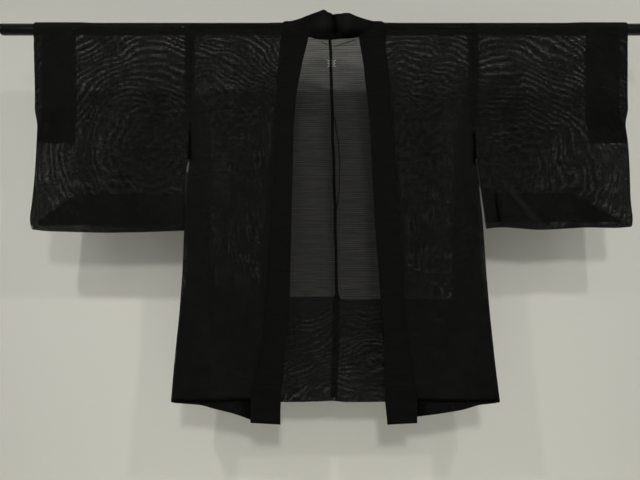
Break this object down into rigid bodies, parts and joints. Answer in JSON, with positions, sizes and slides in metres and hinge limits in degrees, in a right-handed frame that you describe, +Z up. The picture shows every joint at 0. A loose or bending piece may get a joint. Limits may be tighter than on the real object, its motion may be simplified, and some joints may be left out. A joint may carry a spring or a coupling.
{
  "type": "haori jacket hung on a rod",
  "caption": "Sheer summer haori jacket with open fronts and deep bag sleeves, hung flat on a round rod through both sleeves.",
  "frame": {"origin": "on the rod's axis, at the garment's centre back seam", "axes": "+X along the rod to the right as seen from the front, -Y the way the garment's front faces, +Z up"},
  "size_m": [1.4746, 0.0575, 0.92],
  "materials": {
    "sheer_cloth": "sheer leno weave, matt",
    "folded_cloth": "the same weave in doubled layers, opaque, matt",
    "rod_paint": "satin black paint"
  },
  "bodies": {
    "root": {"body_left": "sheer_cloth", "body_right": "sheer_cloth", "gusset_left": "sheer_cloth", "gusset_right": "sheer_cloth", "sleeve_left": "sheer_cloth", "sleeve_right": "sheer_cloth", "collar": "folded_cloth", "cuff_facing_left": "folded_cloth", "cuff_facing_right": "folded_cloth", "sleeve_hem_left": "folded_cloth", "sleeve_hem_right": "folded_cloth", "hem_front_left": "folded_cloth", "hem_front_right": "folded_cloth", "hem_back_left": "folded_cloth", "hem_back_right": "folded_cloth", "rod": "rod_paint", "rod_cap_left": "rod_paint", "rod_cap_right": "rod_paint"}
  },
  "joints": []
}
